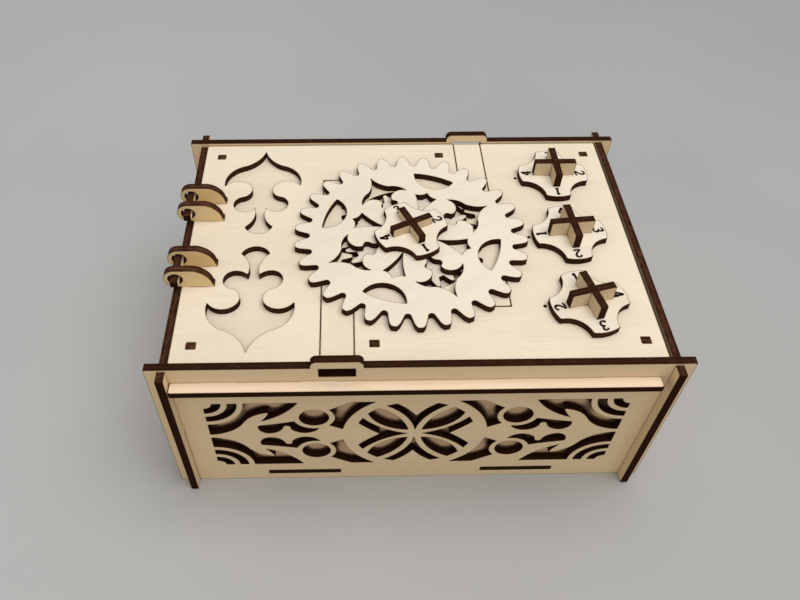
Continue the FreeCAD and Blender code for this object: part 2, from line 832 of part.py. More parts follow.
def blade(label, level, slot_on_top):
    """A T-shaped blade: handle above its plate, stem down to the lock, half slotted.

    Every blade has the same height, so the knob's stand a sheet lower over their plate.
    """
    body = new_body(label)
    foot = level + " + ply"
    middle = "((%s + %s) / 2)" % (BLADE_TOP, LOCK_LOW)
    stem = new_sketch(body, "XZ_Plane", "-ply / 2")
    rectangle(stem, "-stem_width / 2", "stem_width / 2", LOCK_LOW, "((%s + %s) / 2)" % (foot, BLADE_TOP))
    pad(body, stem)
    handle = new_sketch(body, "XZ_Plane", "-ply / 2")
    rectangle(handle, "-blade_span / 2", "blade_span / 2", foot, BLADE_TOP)
    pad(body, handle)
    slot = new_sketch(body, "XZ_Plane", "-ply / 2")
    low = middle if slot_on_top else LOCK_LOW + " - ply"
    high = BLADE_TOP + " + ply" if slot_on_top else middle
    rectangle(slot, "-ply / 2 - fit", "ply / 2 + fit", low, high)
    pocket(body, slot)
    return body


def lock_reach(step):
    """How far the lock arm towards a dial reaches, and the dial's direction."""
    distance = math.hypot(size("dial_place"), step)
    direction = math.degrees(math.atan2(step, size("dial_place")))
    return distance - size("disc_radius") + size("lock_bite"), direction


def lock_spider(steps):
    """Three arms under the lid that turn with the gear and pass the dials' discs at their bites."""
    body = new_body("lock_spider")
    hub = new_sketch(body, "XY_Plane", LOCK_LOW)
    circle(hub, "0", "0", "lock_hub")
    pad(body, hub)
    half = size("arm_width") / 2
    for step in steps:
        reach, direction = lock_reach(step)
        end = math.sqrt(reach ** 2 - half ** 2)
        arm = [
            [(0, -half), (end, -half)],
            [(end, -half), (reach, 0), (end, half)],
            [(end, half), (0, half)],
            [(0, half), (0, -half)],
        ]
        sketch = new_sketch(body, "XY_Plane", LOCK_LOW)
        draw(sketch, [rotated(arm, direction - size("arm_lag") - size("gear_turn"))])
        pad(body, sketch)
    cross_slot(body, LOCK_LOW)
    turned(body, size("gear_turn"))


def lock_disc(label, step, turn):
    """A disc on a dial's stem, with one bite that lets its lock arm pass."""
    body = new_body(label)
    disc = new_sketch(body, "XY_Plane", LOCK_LOW)
    circle(disc, "0", "0", "disc_radius")
    pad(body, disc)
    reach, direction = lock_reach(step)
    distance = math.hypot(size("dial_place"), step)
    bite = new_sketch(body, "XY_Plane", LOCK_LOW)
    ring(bite, ring_point((0, 0), distance, direction + 180 - turn), reach + size("lock_room"))
    pocket(body, bite)
    cross_slot(body, LOCK_LOW)
    return body


long_wall("front_wall", 0)
long_wall("back_wall", 180)
side_wall("left_wall", "-" + SIDE_OUT, True)
side_wall("right_wall", SIDE_IN, False)
floor_panel()
liner("front_liner", 0)
liner("back_liner", 180)
rail("front_rail", 0)
rail("back_rail", 180)

lid_base()
lid_top("lid_top_left", LID_HINGE_EDGE, 0)
lid_top("lid_top_right", LID_FREE_EDGE, 180)
lid_cover()
for number, post_place in enumerate(HALF_POSTS + OTHER_POSTS, 1):
    lid_post("lid_post_%d" % number, post_place)
for fin_label, fin_place in FIN_PLACES.items():
    hinge_fin(fin_label, fin_place)

bolt("back_bolt", 0)
bolt("front_bolt", 180)

drive_gear()
pinion()
knob_low = PLATE_LOW + " + ply"
turned(dial_plate("knob_plate", knob_low), size("gear_turn"))
turned(blade("knob_blade_long", knob_low, True), size("gear_turn"))
turned(blade("knob_blade_cross", knob_low, False), size("gear_turn") + 90)
dial_steps = {"back": size("dial_step"), "middle": 0.0, "front": -size("dial_step")}
lock_spider(dial_steps.values())

for name, step in DIAL_STEPS.items():
    turn = size("dial_%s_turn" % name)
    set_down(dial_plate("dial_%s_plate" % name, PLATE_LOW), "dial_place", step, turn)
    set_down(blade("dial_%s_blade_long" % name, PLATE_LOW, True), "dial_place", step, turn)
    set_down(blade("dial_%s_blade_cross" % name, PLATE_LOW, False), "dial_place", step, turn + 90)
    set_down(lock_disc("dial_%s_disc" % name, dial_steps[name], turn), "dial_place", step, turn)

doc.recompute()

# Every piece has to be one sound solid before anything is written
for item in doc.Objects:
    if "Invalid" in item.State or "Error" in item.State:
        raise RuntimeError("%s did not recompute" % item.Label)
for node in nodes:
    if node.Shape.isNull() or not node.Shape.isValid() or len(node.Shape.Solids) != 1:
        raise RuntimeError("%s is not one sound solid" % node.Label)

os.makedirs("parts", exist_ok=True)
for node in nodes:
    node.Shape.exportStep("parts/%s.step" % node.Label)
    print(node.Label, round(node.Shape.Volume, 1))
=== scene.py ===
"""Looks of a laser-cut plywood puzzle box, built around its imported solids.

Every solid keeps its own mesh and gets a birch plywood finish worked out from the sheet it was cut
from: pale veneer on the two faces, scorched brown along the cut edges. The numerals and index dots are
burnt marks that ride on the dials, the knob and the lid. Sizes are millimetres unless a name or a
docstring says otherwise, and Blender's own lengths are metres.
"""

import logging
import math
from dataclasses import dataclass
from enum import Enum
from typing import Any, Dict, List, Sequence, Tuple, Union

import bmesh
import bpy
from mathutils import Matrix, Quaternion, Vector
from mathutils.geometry import interpolate_bezier


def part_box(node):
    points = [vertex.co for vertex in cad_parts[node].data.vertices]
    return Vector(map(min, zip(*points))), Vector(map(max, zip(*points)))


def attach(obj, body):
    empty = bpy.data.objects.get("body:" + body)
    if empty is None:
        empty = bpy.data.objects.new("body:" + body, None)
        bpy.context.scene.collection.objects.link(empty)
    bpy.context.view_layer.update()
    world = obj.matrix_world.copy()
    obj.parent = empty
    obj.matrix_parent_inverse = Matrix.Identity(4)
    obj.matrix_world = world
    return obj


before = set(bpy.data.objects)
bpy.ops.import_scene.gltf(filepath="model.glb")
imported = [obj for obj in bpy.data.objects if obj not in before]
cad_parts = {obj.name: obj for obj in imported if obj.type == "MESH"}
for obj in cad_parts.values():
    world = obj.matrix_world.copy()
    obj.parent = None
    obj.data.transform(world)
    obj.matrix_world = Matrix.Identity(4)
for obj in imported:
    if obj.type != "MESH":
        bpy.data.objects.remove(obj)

LOG = logging.getLogger("puzzle_box")
MM = 0.001
PER_METRE = 1000.0
RIGHT = Vector((1.0, 0.0, 0.0))
BACK = Vector((0.0, 1.0, 0.0))
UP = Vector((0.0, 0.0, 1.0))
DIAL_NAMES = ("back", "middle", "front")
BLADE_NAMES = ("long", "cross")
NORMAL_DIGITS = 3

# The colour sockets of a Mix node share their names with its number sockets, so they go by position.
MIX_FIRST = 6
MIX_SECOND = 7
MIX_RESULT = 2

Colour = Tuple[float, float, float, float]
Point = Tuple[float, float]
Stroke = Tuple[Point, ...]


class Value:
    """A number or colour that varies over a surface: one socket, with arithmetic on numbers."""

    def __init__(self, graph: "Graph", socket: bpy.types.NodeSocket) -> None:
        """Wrap an output socket of a graph."""
        self.graph = graph
        self.socket = socket

    def __add__(self, other: "Term") -> "Value":
        """The sum of two numbers."""
        return self.graph.math("ADD", self, other)

    def __radd__(self, other: "Term") -> "Value":
        """The sum, with the plain number first."""
        return self.graph.math("ADD", other, self)

    def __sub__(self, other: "Term") -> "Value":
        """The difference of two numbers."""
        return self.graph.math("SUBTRACT", self, other)

    def __rsub__(self, other: "Term") -> "Value":
        """The difference, with the plain number first."""
        return self.graph.math("SUBTRACT", other, self)

    def __mul__(self, other: "Term") -> "Value":
        """The product of two numbers."""
        return self.graph.math("MULTIPLY", self, other)

    def __rmul__(self, other: "Term") -> "Value":
        """The product, with the plain number first."""
        return self.graph.math("MULTIPLY", other, self)

    def __gt__(self, other: "Term") -> "Value":
        """1 where this number is the larger one, else 0."""
        return self.graph.math("GREATER_THAN", self, other)

    def __abs__(self) -> "Value":
        """The number without its sign."""
        return self.graph.math("ABSOLUTE", self)


Term = Union[Value, float]


class Graph:
    """A material's node tree, written as expressions."""

    def __init__(self, name: str) -> None:
        """Start an empty material.

        Args:
            name: the material's name.
        """
        self.material = bpy.data.materials.new(name)
        self.material.use_nodes = True
        self.tree = self.material.node_tree
        self.tree.nodes.clear()

    def node(self, kind: str, settings: Dict[str, Any], inputs: Dict[Any, Any]) -> bpy.types.Node:
        """Add any node.

        Args:
            kind: the node's type.
            settings: its properties, set before its sockets.
            inputs: values or links, by socket name or number.

        Returns:
            The new node.
        """
        made = self.tree.nodes.new(kind)
        for key, setting in settings.items():
            setattr(made, key, setting)
        for key, given in inputs.items():
            if isinstance(given, Value):
                self.tree.links.new(given.socket, made.inputs[key])
            else:
                made.inputs[key].default_value = given
        return made

    def take(self, kind: str, settings: Dict[str, Any], inputs: Dict[Any, Any], output: Any) -> Value:
        """Add a node and wrap one of its outputs.

        Args:
            kind: the node's type.
            settings: its properties.
            inputs: values or links, by socket name or number.
            output: the output's name or number.

        Returns:
            The wrapped output.
        """
        return Value(self, self.node(kind, settings, inputs).outputs[output])

    def math(self, operation: str, *terms: Term) -> Value:
        """One Math node on plain numbers or values."""
        return self.take("ShaderNodeMath", {"operation": operation}, dict(enumerate(terms)), 0)

    def place(self) -> Value:
        """Where the surface lies in the box's frame, in metres."""
        return self.take("ShaderNodeTexCoord", {}, {}, "Object")

    def dot(self, vector: Value, axis: Vector) -> Value:
        """The dot product of a vector that varies and a fixed one."""
        settings = {"operation": "DOT_PRODUCT"}
        return self.take("ShaderNodeVectorMath", settings, {0: vector, 1: axis}, "Value")

    def along(self, place: Value, axis: Vector) -> Value:
        """How far a place lies along an axis, in millimetres."""
        return self.dot(place, axis * PER_METRE)

    def facing(self, axis: Vector) -> Value:
        """How squarely the surface faces an axis, from -1 to 1."""
        return self.dot(self.take("ShaderNodeTexCoord", {}, {}, "Normal"), axis)

    def shut_in(self, reach: float, own_piece_only: bool, inside: bool, rays: int = 16) -> Value:
        """How closely a place is shut in: 0 in the open, 1 in a tight corner.

        Args:
            reach: how far other surfaces count, in millimetres.
            own_piece_only: whether only the piece itself counts.
            inside: whether to look into the solid, which finds its edges.
            rays: how many ways it looks.

        Returns:
            The closeness.
        """
        settings = {"samples": rays, "inside": inside, "only_local": own_piece_only}
        return 1.0 - self.take("ShaderNodeAmbientOcclusion", settings, {"Distance": reach * MM}, "AO")

    def smooth(self, value: Value, low: float, high: float, most: float) -> Value:
        """A soft step from 0 at low to the most at high."""
        inputs = {"Value": value, "From Min": low, "From Max": high, "To Min": 0.0, "To Max": most}
        return self.take("ShaderNodeMapRange", {"interpolation_type": "SMOOTHSTEP"}, inputs, 0)

    def blend(self, share: Term, first: Any, second: Any) -> Value:
        """A colour between two others."""
        inputs = {"Factor": share, MIX_FIRST: first, MIX_SECOND: second}
        return self.take("ShaderNodeMix", {"data_type": "RGBA"}, inputs, MIX_RESULT)

    def noise(self, terms: Sequence[Term], detail: float) -> Value:
        """Cloudy noise about 0.5.

        Args:
            terms: three numbers that vary over the surface, with clouds about 1 across.
            detail: how many finer layers are added.

        Returns:
            The noise.
        """
        vector = self.take("ShaderNodeCombineXYZ", {}, dict(enumerate(terms)), 0)
        inputs = {"Vector": vector, "Scale": 1.0, "Detail": detail}
        return self.take("ShaderNodeTexNoise", {}, inputs, 0)

    def bump(self, relief: Value, strength: float, depth: float) -> Value:
        """A normal that follows a relief of the given depth in millimetres."""
        inputs = {"Strength": strength, "Distance": depth * MM, "Height": relief}
        return self.take("ShaderNodeBump", {}, inputs, 0)

    def finish(self, sockets: Dict[str, Any]) -> bpy.types.Material:
        """Close the graph with a surface shader.

        Args:
            sockets: the shader's values and links, by socket name.

        Returns:
            The finished material.
        """
        shader = self.node("ShaderNodeBsdfPrincipled", {}, sockets)
        self.node("ShaderNodeOutputMaterial", {}, {"Surface": Value(self, shader.outputs[0])})
        return self.material


@dataclass(frozen=True)
class Onset:
    """How a pattern sets in: not at all below low, and to its whole share above high."""

    low: float
    high: float
    share: float = 1.0

    def of(self, value: Value) -> Value:
        """How strongly the pattern shows where a value holds."""
        return value.graph.smooth(value, self.low, self.high, self.share)


@dataclass(frozen=True)
class Figure:
    """Noise in a sheet of wood, in clouds per millimetre along the grain, across it and through it."""

    along: float
    across: float
    through: float
    detail: float


@dataclass(frozen=True)
class Veneer:
    """A sheet's face colour, how its cut edges and faces took the smoke, and the painted light and shade
    on them.

    The toast is how brown the edges stay: 0 is all char, 1 is toasted. The lit rim is painted light added
    to it on the upward-facing edges along the top rim. The nook shade is painted shade: how dark the faces
    are close to a neighbour.
    """

    face: Colour
    toast: float
    lit_rim: float = 0.0
    nook_shade: float = 0.0


class Stock(Enum):
    """Which sheet of birch a piece was cut from; some stocks carry painted light or shade."""

    CREAM = Veneer((0.88, 0.76, 0.60, 1.0), toast=0.60)
    PALE = Veneer((0.87, 0.78, 0.645, 1.0), toast=0.55)
    PEACH = Veneer((0.88, 0.71, 0.53, 1.0), toast=0.05)
    # Wall ply: its low toast darkens every cut edge as painted shade for the fretwork's inner edges, and
    # its lit rim is painted light.
    HONEY = Veneer((0.78, 0.61, 0.39, 1.0), toast=0.10, lit_rim=0.15)
    # The same wall ply with a brighter painted lit rim, for the side walls.
    HONEY_LIT_RIM = Veneer((0.78, 0.61, 0.39, 1.0), toast=0.10, lit_rim=0.75)
    BISCUIT = Veneer((0.66, 0.525, 0.345, 1.0), toast=0.40)
    AMBER = Veneer((0.80, 0.61, 0.33, 1.0), toast=0.80, lit_rim=0.40)
    # Liner ply: its darker face colour is painted shade for the liners behind the fretwork, and its nook
    # shade paints shade by the openings' rims.
    SHADED_LINER = Veneer((0.66, 0.44, 0.265, 1.0), toast=0.50, nook_shade=0.92)


@dataclass(frozen=True)
class Sheet:
    """Where one cut sheet lies in the box, in metres from the origin along its normal."""

    normal: Vector
    grain: Vector
    middle: float
    half: float

    @classmethod
    def of(cls, node: str, grain_turn: float) -> "Sheet":
        """Find a solid's sheet: most of its area faces along the sheet's normal.

        Args:
            node: the solid's name.
            grain_turn: degrees from +X of the grain on a flat-lying sheet.

        Returns:
            The sheet that the solid was cut from.
        """
        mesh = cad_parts[node].data
        areas: Dict[Tuple[float, ...], float] = {}
        for polygon in mesh.polygons:
            facing = polygon.normal
            if max(facing, key=abs) < 0:
                facing = -facing
            key = tuple(round(part, NORMAL_DIGITS) for part in facing)
            areas[key] = areas.get(key, 0.0) + polygon.area
        normal = Vector(max(areas, key=areas.get)).normalized()
        heights = [vertex.co.dot(normal) for vertex in mesh.vertices]
        if max(normal, key=abs) == normal.z:
            turn = math.radians(grain_turn)
            grain = Vector((math.cos(turn), math.sin(turn), 0.0))
        else:
            grain = normal.cross(UP)
        low = min(heights)
        high = max(heights)
        return cls(normal, grain, (low + high) / 2, (high - low) / 2)


class Wood:
    """A solid's graph, and where its surface lies in the sheet, in millimetres.

    The steps are how far apart the figures of two pieces are taken from the noise.
    """

    along_step: float = 61.0
    across_step: float = 17.0

    def __init__(self, node: str, grain_turn: float, seed: int) -> None:
        """Start a solid's graph.

        Args:
            node: the solid's name.
            grain_turn: degrees from +X of the grain on a flat-lying piece.
            seed: a number that sets this piece's figure apart.
        """
        sheet = Sheet.of(node, grain_turn)
        self.graph = Graph("birch_ply_" + node)
        self.place = self.graph.place()
        self.half = sheet.half * PER_METRE
        self.along = self.graph.along(self.place, sheet.grain) + self.along_step * seed
        across = sheet.normal.cross(sheet.grain)
        self.across = self.graph.along(self.place, across) + self.across_step * seed
        self.depth = self.graph.along(self.place, sheet.normal) - sheet.middle * PER_METRE

    def noise(self, figure: Figure) -> Value:
        """A figure's noise over the surface."""
        terms = (self.along * figure.along, self.across * figure.across, self.depth * figure.through)
        return self.graph.noise(terms, figure.detail)


@dataclass(frozen=True)
class VeneerFace:
    """The two faces of a sheet: figured veneer, smoked and scorched beside the cuts, and darkened by
    painted shade close to neighbouring pieces where the stock asks for it.
    """

    streak: Colour = (0.62, 0.46, 0.28, 1.0)
    smoke: Colour = (0.50, 0.33, 0.17, 1.0)
    scorch: Colour = (0.075, 0.035, 0.018, 1.0)
    nook_shade: Colour = (0.022, 0.007, 0.003, 1.0)
    halo: float = 0.7
    nook_shade_reach: float = 4.0
    clouds: Figure = Figure(along=0.018, across=0.05, through=1.0, detail=2.0)
    cloud_onset: Onset = Onset(0.35, 0.75, share=0.16)
    streak_onset: Onset = Onset(0.42, 0.75, share=0.13)
    pore_share: float = 0.09
    smoke_onset: Onset = Onset(0.0, 0.4, share=0.28)
    scorch_onset: Onset = Onset(0.30, 0.48)
    nook_shade_onset: Onset = Onset(0.17, 0.38)

    def colour(self, wood: Wood, veneer: Veneer, streaks: Value, pores: Value) -> Value:
        """Work out the face's colour.

        Args:
            wood: the solid's graph.
            veneer: its sheet.
            streaks: the noise of its grain.
            pores: 1 in the pores, 0 between them.

        Returns:
            The colour.
        """
        graph = wood.graph
        figure = self.cloud_onset.of(wood.noise(self.clouds)) + self.streak_onset.of(streaks)
        bare = graph.blend(figure + self.pore_share * pores, veneer.face, self.streak)
        near = graph.shut_in(self.halo, own_piece_only=True, inside=True)
        smoked = graph.blend(self.smoke_onset.of(near), bare, self.smoke)
        edged = graph.blend(self.scorch_onset.of(near), smoked, self.scorch)
        # Painted shade: the face darkens close to any neighbouring surface, by the stock's nook shade.
        if not veneer.nook_shade:
            return edged
        tight = graph.shut_in(self.nook_shade_reach, own_piece_only=False, inside=False)
        return graph.blend(veneer.nook_shade * self.nook_shade_onset.of(tight), edged, self.nook_shade)


@dataclass(frozen=True)
class CutEdge:
    """The laser's cut: char, toasted brown in patches and at the core, paler in worn patches, and paler
    still where painted light falls on the upward-facing edges along the top rim.
    """

    char: Colour = (0.022, 0.007, 0.003, 1.0)
    toast: Colour = (0.103, 0.043, 0.022, 1.0)
    worn_and_lit: Colour = (0.215, 0.105, 0.050, 1.0)
    lit_rim_depth: float = 8.5
    lit_rim_fade: float = 1.0
    lit_rim_facing: Onset = Onset(0.2, 0.8)
    mottle: Figure = Figure(along=0.30, across=0.30, through=0.55, detail=4.0)
    mottle_onset: Onset = Onset(0.3, 0.7, share=0.45)
    striae_onset: Onset = Onset(0.35, 0.7, share=0.20)
    past_core: Onset = Onset(0.38, 0.62)
    core_share: float = 0.30
    worn_mottle: Onset = Onset(0.58, 0.78, share=0.55)
    worn_striae: Onset = Onset(0.35, 0.65)

    def colour(self, wood: Wood, veneer: Veneer, striae: Value, top: float) -> Value:
        """Work out the edge's colour.

        Args:
            wood: the solid's graph.
            veneer: its sheet.
            striae: the noise of the beam's lines.
            top: the height of the solid's top, in millimetres.

        Returns:
            The colour.
        """
        graph = wood.graph
        mottle = wood.noise(self.mottle)
        core = self.core_share * (1.0 - self.past_core.of(abs(wood.depth)))
        toasted = self.mottle_onset.of(mottle) + self.striae_onset.of(striae) + core
        rubbed = self.worn_mottle.of(mottle) * self.worn_striae.of(striae)
        brown: Term = veneer.toast
        # Painted light: upward-facing edges near the top of the piece are made browner and paler, as if
        # lit.
        if veneer.lit_rim:
            lit_rim_band = Onset(top - self.lit_rim_depth, top - self.lit_rim_depth + self.lit_rim_fade, veneer.lit_rim)
            brown += lit_rim_band.of(graph.along(wood.place, UP)) * self.lit_rim_facing.of(graph.facing(UP))
        burnt = graph.blend(brown * toasted, self.char, self.toast)
        # The worn colour shows in random worn patches, and more strongly on the painted lit rim.
        return graph.blend(brown * rubbed, burnt, self.worn_and_lit)


@dataclass(frozen=True)
class BirchPly:
    """Laser-cut birch plywood: pale veneer faces and scorched cut edges."""

    face: VeneerFace = VeneerFace()
    edge: CutEdge = CutEdge()
    skin: float = 0.03
    streaks: Figure = Figure(along=0.07, across=0.95, through=1.0, detail=3.0)
    pores: Figure = Figure(along=0.45, across=5.5, through=1.0, detail=2.0)
    pore_onset: Onset = Onset(0.60, 0.74)
    striae: Figure = Figure(along=1.9, across=1.9, through=0.22, detail=2.0)
    streak_relief: float = 0.6
    pore_relief: float = 0.5
    relief_strength: float = 0.18
    relief_depth: float = 0.05
    edge_roughness: float = 0.86
    face_polish: float = 0.26
    streak_polish: float = 0.10
    shine: float = 0.03

    def dress(self, node: str, stock: Stock, grain_turn: float, seed: int) -> bpy.types.Material:
        """Make a solid's material.

        Args:
            node: the solid's name.
            stock: the sheet that it was cut from.
            grain_turn: degrees from +X of the grain on a flat-lying piece.
            seed: a number that sets this piece's figure apart.

        Returns:
            The material.
        """
        wood = Wood(node, grain_turn, seed)
        graph = wood.graph
        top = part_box(node)[1].z * PER_METRE
        streaks = wood.noise(self.streaks)
        pores = self.pore_onset.of(wood.noise(self.pores))
        striae = wood.noise(self.striae)
        on_face = abs(wood.depth) > wood.half - self.skin
        faces = self.face.colour(wood, stock.value, streaks, pores)
        edges = self.edge.colour(wood, stock.value, striae, top)
        grain = self.streak_relief * streaks + self.pore_relief * pores
        relief = on_face * grain + (1.0 - on_face) * striae
        return graph.finish({
            "Base Color": graph.blend(on_face, edges, faces),
            "Roughness": self.edge_roughness - on_face * (self.face_polish - self.streak_polish * streaks),
            "Normal": graph.bump(relief, self.relief_strength, self.relief_depth),
            "Specular IOR Level": self.shine,
        })


@dataclass(frozen=True)
class BurntMark:
    """Shallow laser engraving: dark brown, uneven in the burn."""

    deep: Colour = (0.014, 0.005, 0.002, 1.0)
    thin: Colour = (0.056, 0.026, 0.011, 1.0)
    clouds_per_mm: float = 2.4
    detail: float = 3.0
    thin_onset: Onset = Onset(0.4, 0.7)
    roughness: float = 0.75
    burn_roughness: float = 0.2
    relief_strength: float = 0.3
    relief_depth: float = 0.05
    shine: float = 0.05

    def dress(self) -> bpy.types.Material:
        """Make the material that all marks share.

        Returns:
            The material.
        """
        graph = Graph("burnt_mark")
        place = graph.place()
        terms = [graph.along(place, axis) * self.clouds_per_mm for axis in (RIGHT, BACK, UP)]
        burn = graph.noise(terms, self.detail)
        return graph.finish({
            "Base Color": graph.blend(self.thin_onset.of(burn), self.deep, self.thin),
            "Roughness": self.roughness + self.burn_roughness * burn,
            "Normal": graph.bump(burn, self.relief_strength, self.relief_depth),
            "Specular IOR Level": self.shine,
        })


@dataclass(frozen=True)
class TableTop:
    """The plain pale surface that the box stands on, with painted shade that darkens it towards the right
    and soft clouds of tone.
    """

    pale: Colour = (0.53, 0.527, 0.525, 1.0)
    cloud_and_shade: Colour = (0.41, 0.407, 0.405, 1.0)
    shade_fade: Onset = Onset(-320.0, 260.0, share=0.8)
    clouds_per_mm: float = 0.006
    detail: float = 2.0
    cloud_onset: Onset = Onset(0.3, 0.7, share=0.2)
    roughness: float = 0.6
    cloud_roughness: float = 0.1

    def dress(self) -> bpy.types.Material:
        """Make the table's material.

        Returns:
            The material.
        """
        graph = Graph("table_top")
        place = graph.place()
        terms = [graph.along(place, axis) * self.clouds_per_mm for axis in (RIGHT, BACK, UP)]
        cloud = graph.noise(terms, self.detail)
        # Painted shade: the table darkens from left to right; the clouds are its own tone.
        shade_and_cloud = self.shade_fade.of(graph.along(place, RIGHT)) + self.cloud_onset.of(cloud)
        return graph.finish({
            "Base Color": graph.blend(shade_and_cloud, self.pale, self.cloud_and_shade),
            "Roughness": self.roughness + self.cloud_roughness * cloud,
        })


# Pen strokes of the numerals, one unit tall: two points are a line, four are a curve's control points.
NUMERAL_STROKES: Dict[int, Sequence[Stroke]] = {
    1: (
        ((-0.17, 0.76), (0.03, 0.96)),
        ((0.03, 0.98), (0.03, 0.02)),
        ((-0.15, 0.03), (0.21, 0.03)),
    ),
    2: (
        ((-0.24, 0.72), (-0.22, 1.05), (0.26, 1.06), (0.24, 0.70)),
        ((0.24, 0.70), (0.22, 0.44), (-0.08, 0.26), (-0.26, 0.04)),
        ((-0.27, 0.05), (0.29, 0.05)),
        ((0.28, 0.04), (0.30, 0.20)),
    ),
    3: (
        ((-0.22, 0.80), (-0.10, 1.06), (0.24, 1.02), (0.22, 0.75)),
        ((0.22, 0.75), (0.20, 0.58), (0.05, 0.54), (-0.08, 0.53)),
        ((-0.08, 0.53), (0.18, 0.54), (0.28, 0.42), (0.27, 0.27)),
        ((0.27, 0.27), (0.25, -0.06), (-0.16, -0.06), (-0.26, 0.18)),
    ),
    4: (
        ((0.11, 0.97), (-0.30, 0.31)),
        ((-0.31, 0.30), (0.30, 0.30)),
        ((0.11, 0.98), (0.11, 0.02)),
        ((-0.05, 0.03), (0.26, 0.03)),
    ),
}


def finished_mesh(name: str, shape: bmesh.types.BMesh) -> bpy.types.Object:
    """Turn a bmesh into an object of the scene.

    Args:
        name: the object's name.
        shape: its mesh, which is freed.

    Returns:
        The new object.
    """
    bmesh.ops.recalc_face_normals(shape, faces=shape.faces)
    mesh = bpy.data.meshes.new(name)
    shape.to_mesh(mesh)
    shape.free()
    piece = bpy.data.objects.new(name, mesh)
    bpy.context.scene.collection.objects.link(piece)
    return piece


@dataclass
class Numerals:
    """Four burnt numerals round a dial, tops outward, drawn with a broad nib.

    The nib's two half widths are shares of a numeral's height.
    """

    height: float = 4.2
    ring_radius: float = 12.1
    nib_long: float = 0.132
    nib_short: float = 0.090
    nib_turn: float = 20.0
    proud: float = 0.03
    sunk: float = 0.03
    bends: int = 9

    def build(self, name: str, centre: Vector, turn: float, order: Sequence[int]) -> bpy.types.Object:
        """Cut the four numerals of one dial as a single piece.

        Args:
            name: the piece's name.
            centre: middle of the dial's top face, in metres.
            turn: degrees that the dial is turned.
            order: the numerals at its right, back, left and front lobes.

        Returns:
            The piece, in place.
        """
        shape = bmesh.new()
        for quarter, digit in enumerate(order):
            angle = math.radians(turn + 90.0 * quarter)
            outward = Vector((math.cos(angle), math.sin(angle), 0.0))
            across = Vector((outward.y, -outward.x, 0.0))
            foot = centre + outward * (self.ring_radius - self.height / 2) * MM
            for stroke in NUMERAL_STROKES[digit]:
                left, right = [
                    [foot + (across * x + outward * y) * self.height * MM for x, y in rail]
                    for rail in self._rails(stroke)
                ]
                self._slab(shape, left, right)
        return finished_mesh(name, shape)

    def _rails(self, stroke: Stroke) -> Tuple[List[Point], List[Point]]:
        """The two sides of a pen stroke.

        Args:
            stroke: a line's two points or a curve's four, for a numeral one unit tall.

        Returns:
            The left and the right side, as points.
        """
        path = [Vector((x, y, 0.0)) for x, y in stroke]
        if len(path) > 2:
            path = interpolate_bezier(*path, self.bends)
        nib = math.radians(self.nib_turn)
        left: List[Point] = []
        right: List[Point] = []
        for index, point in enumerate(path):
            run = (path[min(index + 1, len(path) - 1)] - path[max(index - 1, 0)]).normalized()
            side = Vector((-run.y, run.x, 0.0))
            lean = math.atan2(side.y, side.x) - nib
            reach = math.hypot(self.nib_long * math.cos(lean), self.nib_short * math.sin(lean))
            left.append((point.x + side.x * reach, point.y + side.y * reach))
            right.append((point.x - side.x * reach, point.y - side.y * reach))
        return left, right

    def _slab(self, shape: bmesh.types.BMesh, left: List[Vector], right: List[Vector]) -> None:
        """Add one stroke as a thin closed slab.

        Args:
            shape: the mesh that it is added to.
            left: points of its left side.
            right: points of its right side.
        """
        top = UP * self.proud * MM
        low = -UP * self.sunk * MM
        rows = [
            [shape.verts.new(corner) for corner in (a + top, a + low, b + low, b + top)]
            for a, b in zip(left, right)
        ]
        for first, second in zip(rows, rows[1:]):
            for side in range(4):
                after = (side + 1) % 4
                shape.faces.new((first[side], first[after], second[after], second[side]))
        shape.faces.new(rows[0][::-1])
        shape.faces.new(rows[-1])


@dataclass
class IndexDots:
    """The burnt dots on the lid that the dials are read against."""

    radius: float = 0.8
    proud: float = 0.04
    sunk: float = 0.03
    sides: int = 28
    rings: int = 4

    def build(self, name: str, places: Sequence[Vector]) -> bpy.types.Object:
        """Make shallow domes at the given places, as one piece.

        Args:
            name: the piece's name.
            places: points on the lid's top, in metres.

        Returns:
            The piece, in place.
        """
        shape = bmesh.new()
        for place in places:
            loops = []
            for ring in range(self.rings):
                lean = math.pi / 2 * ring / self.rings
                rise = self.proud * math.sin(lean) if ring else -self.sunk
                reach = self.radius * math.cos(lean)
                loops.append([
                    shape.verts.new(place + Vector((reach * math.cos(a), reach * math.sin(a), rise)) * MM)
                    for a in (math.tau * side / self.sides for side in range(self.sides))
                ])
            crown = shape.verts.new(place + UP * self.proud * MM)
            for side in range(self.sides):
                after = (side + 1) % self.sides
                for low, high in zip(loops, loops[1:]):
                    shape.faces.new((low[side], low[after], high[after], high[side]))
                shape.faces.new((loops[-1][side], loops[-1][after], crown))
            shape.faces.new(loops[0][::-1])
        return finished_mesh(name, shape)


@dataclass
class Workshop:
    """What every sub-assembly shares: its finishes and the way a solid is dressed."""

    ply: BirchPly
    mark: bpy.types.Material

    def dress_solid(self, node: str, stock: Stock, grain_turn: float = 0.0) -> None:
        """Give a CAD solid its plywood finish.

        Args:
            node: the solid's name.
            stock: the sheet that it was cut from.
            grain_turn: degrees from +X of the grain on a flat-lying piece.
        """
        seed = sorted(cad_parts).index(node)
        material = self.ply.dress(node, stock, grain_turn, seed)
        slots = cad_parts[node].data.materials
        slots.clear()
        slots.append(material)
        LOG.info("dressed %s", node)

    def mark_piece(self, piece: bpy.types.Object, body: str) -> None:
        """Finish a burnt mark and let it ride on a body.

        Args:
            piece: the mark.
            body: the body that carries it.
        """
        piece.data.materials.append(self.mark)
        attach(piece, body)
        LOG.info("made %s on %s", piece.name, body)


def top_middle(node: str) -> Vector:
    """The middle of a solid's top, in metres."""
    low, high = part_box(node)
    return Vector(((low.x + high.x) / 2, (low.y + high.y) / 2, high.z))


